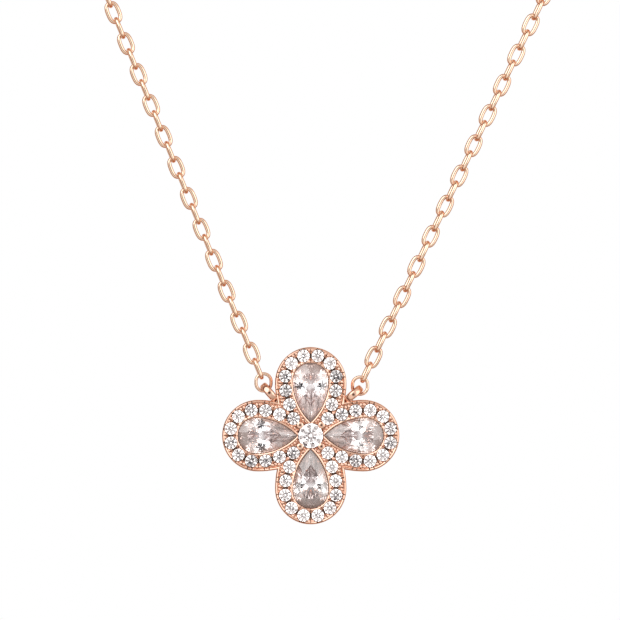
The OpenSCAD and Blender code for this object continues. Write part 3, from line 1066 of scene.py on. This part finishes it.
def link_mesh(name, bends, sides):
    """A link along Z in the XZ plane: a full oval of wire, deeper than it is wide and fuller at the sides."""
    length, width, wire, depth = LINK
    a = (width - LINK_SIDE) / 2
    b = (length - wire) / 2

    def oval(k):
        t = 2 * math.pi * k / bends
        c = math.cos(t)
        s = math.sin(t)
        return Vector((math.copysign(abs(c) ** (2 / LINK_POWER), c) * a, 0,
                       math.copysign(abs(s) ** (2 / LINK_POWER), s) * b))

    rings = []
    for k in range(bends):
        along = (oval(k + 0.5) - oval(k - 0.5)).normalized()
        out = Vector((along.z, 0, -along.x))
        half = (wire + (LINK_SIDE - wire) * out.x * out.x) / 2
        ring = []
        for j in range(sides):
            t = 2 * math.pi * (j + 0.5) / sides
            ring.append((oval(k) + out * math.cos(t) * half + Vector((0, depth / 2, 0)) * math.sin(t)) * MM)
        rings.append(ring)
    mesh = solid(name, rings, closed=True)
    mesh.shade_smooth()
    # Painted shade: the ends of the link, where it meets its neighbours, keep a share of deeper tone
    keep_values(mesh, "painted_shade_share", [part_way(abs(vertex.normal.z), 0.4, 0.8) for vertex in mesh.vertices])
    return mesh


def curve_point(a, b, c, d, t):
    """Point at the share t of the way from b to c on a smooth curve through all four."""
    bend = (2 * a - 5 * b + 4 * c - d) * t * t
    return 0.5 * (2 * b + (c - a) * t + bend + (3 * b - a - 3 * c + d) * t ** 3)


def chain_route(side, end, lean, route):
    """Fine points along one half of the chain, from the middle of its first link to the clasp."""
    strand = Vector((side * math.sin(lean), 0, math.cos(lean)))
    start = FLOWER_AT + end + strand * STRAND_END
    neck = [(side * x, y, z) for x, y, z in NECK]
    neck += [(side * (CLASP_LOOP_X + CLASP_LOOP_R + 0.1), 0, 0), (-side * 8, 0, 0)]
    knots = [start - strand * LEAD_IN, start] + [Vector(p) for p in route + neck]
    path = [FLOWER_AT + end + strand * FIRST_LINK]
    for i in range(1, len(knots) - 2):
        for j in range(CURVE_STEPS):
            path.append(curve_point(*knots[i - 1:i + 3], j / CURVE_STEPS))
    path.append(Vector((side * CLASP_LOOP_X, 0, 0)))
    return path


def link_places(path):
    """Middles of the links: the straight stretch at its own pitch, the rest at the nearest even one."""
    lengths = [0]
    for a, b in zip(path, path[1:]):
        lengths.append(lengths[-1] + (b - a).length)
    front = (FRONT_LINKS - 1) * LINK_PITCH
    last = lengths[-1] - LINK[0] / 2 + LINK[2] - CLASP_HOLE_R + 0.08
    rest = round((last - front) / LINK_PITCH)
    wanted = [k * LINK_PITCH for k in range(FRONT_LINKS)]
    wanted += [front + (last - front) * (k + 1) / rest for k in range(rest)]
    places = []
    i = 0
    for s in wanted:
        while lengths[i + 1] < s:
            i += 1
        t = (s - lengths[i]) / (lengths[i + 1] - lengths[i])
        places.append(path[i].lerp(path[i + 1], t))
    return places


def make_stretch(name, places, first, twist, shape, node):
    """Links at the places, the first of them being number first of its half."""
    curve = bpy.data.curves.new(name + "_curve", "CURVE")
    curve.dimensions = "3D"
    spline = curve.splines.new("POLY")
    spline.points.add(len(places) - 1)
    for point, place in zip(spline.points, places):
        point.co = (*(place * MM), 1)
    tree, keys = chain_tree(name + "_tree", shape, CHAIN_GOLD)
    mesh = grown(new_object(name + "_route", curve), tree, keys, (math.pi / 2, float(first), twist))
    bpy.data.objects.remove(shape)
    dress(name, mesh, "chain", node)


def make_chain(name):
    side, end, lean, twist, route = HALVES[name]
    places = link_places(chain_route(side, Vector(end), math.radians(lean), route))
    twist = math.radians(twist)
    fine = new_object("fine_link", link_mesh("fine_link", 24, 10))
    plain = new_object("plain_link", link_mesh("plain_link", 14, 6))
    make_stretch("front_links_" + name, places[:FRONT_LINKS], 0, twist, fine, "chain_front_" + name)
    make_stretch("back_links_" + name, places[FRONT_LINKS:], FRONT_LINKS, twist, plain, "chain_back_" + name)


def make_end_ring(name):
    """An end ring; its limb beside the flower mirrors the bail, and so gets painted shade, a deeper tone that
    stands in for its reflection of the nearby gold.
    """
    side, end = HALVES[name][:2]
    node = "end_ring_" + name
    mesh = oval_ring(node + "_wire", *END_RING, 24, 16)
    inward = -side / MM
    # Painted shade on the limb beside the flower
    keep_values(mesh, "painted_shade_share", [part_way(vertex.co.x * inward, 0.3, 0.7) for vertex in mesh.vertices])
    mesh.transform(Matrix.Translation((FLOWER_AT + Vector(end)) * MM))
    dress(node + "_wire", mesh, "chain", node, CHAIN_GOLD)


# Clasp

def clasp_outline(grow, bends=40):
    """Two round ends and the straight sides between them, moved out by grow, counter-clockwise."""
    big_x = CLASP_BIG_R - CLASP_L / 2
    small_x = CLASP_L / 2 - CLASP_SMALL_R
    turn = math.acos((CLASP_BIG_R - CLASP_SMALL_R) / (small_x - big_x))
    outline = []
    for middle, r, first, last in ((big_x, CLASP_BIG_R, turn, 2 * math.pi - turn),
                                   (small_x, CLASP_SMALL_R, -turn, turn)):
        for k in range(bends + 1):
            a = first + (last - first) * k / bends
            outline.append((middle + (r + grow) * math.cos(a), (r + grow) * math.sin(a)))
    return outline


def make_clasp():
    """The closed spring clasp with its edges rounded over, and a flat loop at each end."""
    half = CLASP_T / 2
    edge = [(-0.42, half), (-0.26, half - 0.04), (-0.12, half - 0.14), (-0.03, half - 0.30), (0, half - 0.48)]
    body = solid("clasp_body", [ring_at(clasp_outline(grow), z, nape_point) for grow, z in both_sides(edge)])
    flat = CLASP_LOOP_T / 2
    rim = both_sides([(CLASP_HOLE_R, flat - 0.12), (CLASP_HOLE_R + 0.10, flat), (CLASP_LOOP_R - 0.12, flat),
                      (CLASP_LOOP_R, flat - 0.14)])
    hole = [(CLASP_HOLE_R, -1), (CLASP_HOLE_R, 1)]
    for x in (-CLASP_LOOP_X, CLASP_LOOP_X):
        loop = revolved("loop", rim, Vector((x, 0, 0)), Vector((0, 1, 0)), Vector((1, 0, 0)), 40)
        body = cut(body, [loop], "UNION")
        body = cut(body, [round_cutter(x, 0, hole, 48, nape_point)])
    r = CLASP_FINGER_R
    flare = [(r + 0.20, half + 0.10), (r + 0.20, half), (r + 0.08, half - 0.08), (r, half - 0.26)]
    body = cut(body, [round_cutter(CLASP_BIG_R - CLASP_L / 2, 0, both_sides(flare), 48, nape_point)])
    smooth(body, 40, CLASP_GOLD)
    dress("clasp_rounded", body, "chain", "clasp")


# Light, backdrop and floor

# What the metal and the stones see, by direction: 0 is straight behind the jewel, 1 is the camera
TENT_BEHIND = [(0.00, (1.05, 0.93, 0.83)), (0.05, (0.95, 0.80, 0.69)), (0.17, (0.74, 0.54, 0.42))]
TENT_AHEAD = [(0.99, (0.30, 0.26, 0.24)), (1.00, (0.05, 0.05, 0.05))]
LEFT_TENT = TENT_BEHIND + [
    (0.26, (0.40, 0.21, 0.13)),
    (0.34, (0.92, 0.70, 0.55)),
    (0.44, (0.88, 0.68, 0.55)),
    (0.51, (0.24, 0.12, 0.08)),
    (0.68, (0.26, 0.14, 0.10)),
    (0.77, (0.95, 0.88, 0.80)),
    (0.90, (1.14, 1.08, 1.00)),
    (0.975, (1.22, 1.18, 1.12)),
] + TENT_AHEAD
RIGHT_TENT = TENT_BEHIND + [
    (0.26, (0.42, 0.20, 0.11)),
    (0.37, (0.80, 0.40, 0.21)),
    (0.50, (0.84, 0.52, 0.35)),
    (0.62, (0.94, 0.82, 0.71)),
    (0.76, (0.98, 0.93, 0.86)),
    (0.975, (1.06, 1.03, 0.98)),
] + TENT_AHEAD
STONE_TENT = [
    (0.00, (0.55, 0.50, 0.50)),
    (0.40, (0.60, 0.55, 0.55)),
    (0.55, (1.00, 0.96, 0.96)),
    (0.70, (2.10, 2.10, 2.10)),
    (0.96, (2.10, 2.10, 2.10)),
    (0.97, (0.12, 0.13, 0.14)),
    (1.00, (0.04, 0.04, 0.05)),
]
TENT_ENDS = (0.46, 0.23, 0.13)
FLOOR_TENT = (1.16, 1.16, 1.16)

# Where the tent goes over from its left half to its right, and into its upper and lower ends and how far; and
# where it grows darker towards the upper left and the lower right, with the share of light that is left there
SIDE_BLEND = (-0.35, 0.25)
UPPER_SLOPE = 0.72
LOWER_SLOPE = 0.9
ENDS_BLEND = (0.55, 0.95)
ENDS_MOST = 0.8
SLANT_BLEND = (-0.30, 0.05)
SLANT_SHADE = 0.78

# The floor, in metres
FLOOR_Z = -0.24
FLOOR_MIDDLE_Y = -0.055
FLOOR_HALF = 0.6


def make_world():
    """A studio tent by angle from the front; the camera and the floor see plain white."""
    world = bpy.data.worlds.new("studio")
    bpy.context.scene.world = world
    world.use_nodes = True
    tree = world.node_tree
    tree.nodes.clear()
    way = split(tree, new_node(tree, "ShaderNodeTexCoord", "Generated"))
    seen = tree.nodes.new("ShaderNodeLightPath").outputs
    front = ranged(tree, way["Y"], 1, -1)
    side = ranged(tree, way["X"], *SIDE_BLEND, kind="SMOOTHSTEP")
    sides = mix(tree, side, ramp(tree, LEFT_TENT, front), ramp(tree, RIGHT_TENT, front))
    slant = maths(tree, "MULTIPLY", way["X"], way["Z"])
    sides = multiplied(tree, sides, ranged(tree, slant, *SLANT_BLEND, SLANT_SHADE, 1, "SMOOTHSTEP"))
    upper = maths(tree, "MULTIPLY", way["Z"], UPPER_SLOPE)
    lower = maths(tree, "MULTIPLY", way["Z"], -LOWER_SLOPE)
    steep = maths(tree, "MAXIMUM", upper, lower)
    ends = ranged(tree, steep, *ENDS_BLEND, 0, ENDS_MOST, "SMOOTHSTEP")
    metal = mix(tree, ends, sides, TENT_ENDS)
    through = maths(tree, "GREATER_THAN", seen["Transmission Depth"], 0.5)
    both = mix(tree, through, metal, ramp(tree, STONE_TENT, front))
    light = mix(tree, seen["Is Diffuse Ray"], both, FLOOR_TENT)
    light = mix(tree, seen["Is Camera Ray"], light, (1, 1, 1))
    tent = new_node(tree, "ShaderNodeBackground", "Background", Color=light)
    fill(tree, tree.nodes.new("ShaderNodeOutputWorld"), Surface=tent)


def make_light(name, place, size, power):
    data = bpy.data.lights.new(name, "AREA")
    data.shape = "RECTANGLE"
    data.size, data.size_y = size
    data.energy = power
    lamp = new_object(name, data)
    lamp.location = place
    aim = FLOWER_AT * MM - Vector(place)
    lamp.rotation_euler = aim.to_track_quat("-Z", "Y").to_euler()


def make_floor():
    material, tree, shader, place = new_material("pale_floor")
    cloud = noise(tree, place, scale=40, detail=2)
    pale = ramp(tree, [(0, (0.86, 0.86, 0.86)), (1, (0.90, 0.90, 0.90))], cloud)
    fill(tree, shader, Base_Color=pale, Roughness=0.6)
    corners = [(a * FLOOR_HALF, FLOOR_MIDDLE_Y + b * FLOOR_HALF, FLOOR_Z) for a, b in SQUARE]
    mesh = mesh_from("floor", corners, [(0, 1, 2, 3)])
    mesh.materials.append(material)
    floor = new_object("floor", mesh)
    floor.visible_glossy = False
    floor.visible_transmission = False


make_world()
make_light("key", place=(-0.25, -0.45, 0.15), size=(0.45, 0.45), power=1.1)
make_light("fill", place=(0.35, -0.35, -0.05), size=(0.35, 0.45), power=0.6)
make_floor()
make_setting()
make_pave()
make_pears()
make_centre()
make_clasp()
for half in HALVES:
    make_chain(half)
for half in HALVES:
    make_end_ring(half)

bpy.context.scene.view_settings.view_transform = "Standard"
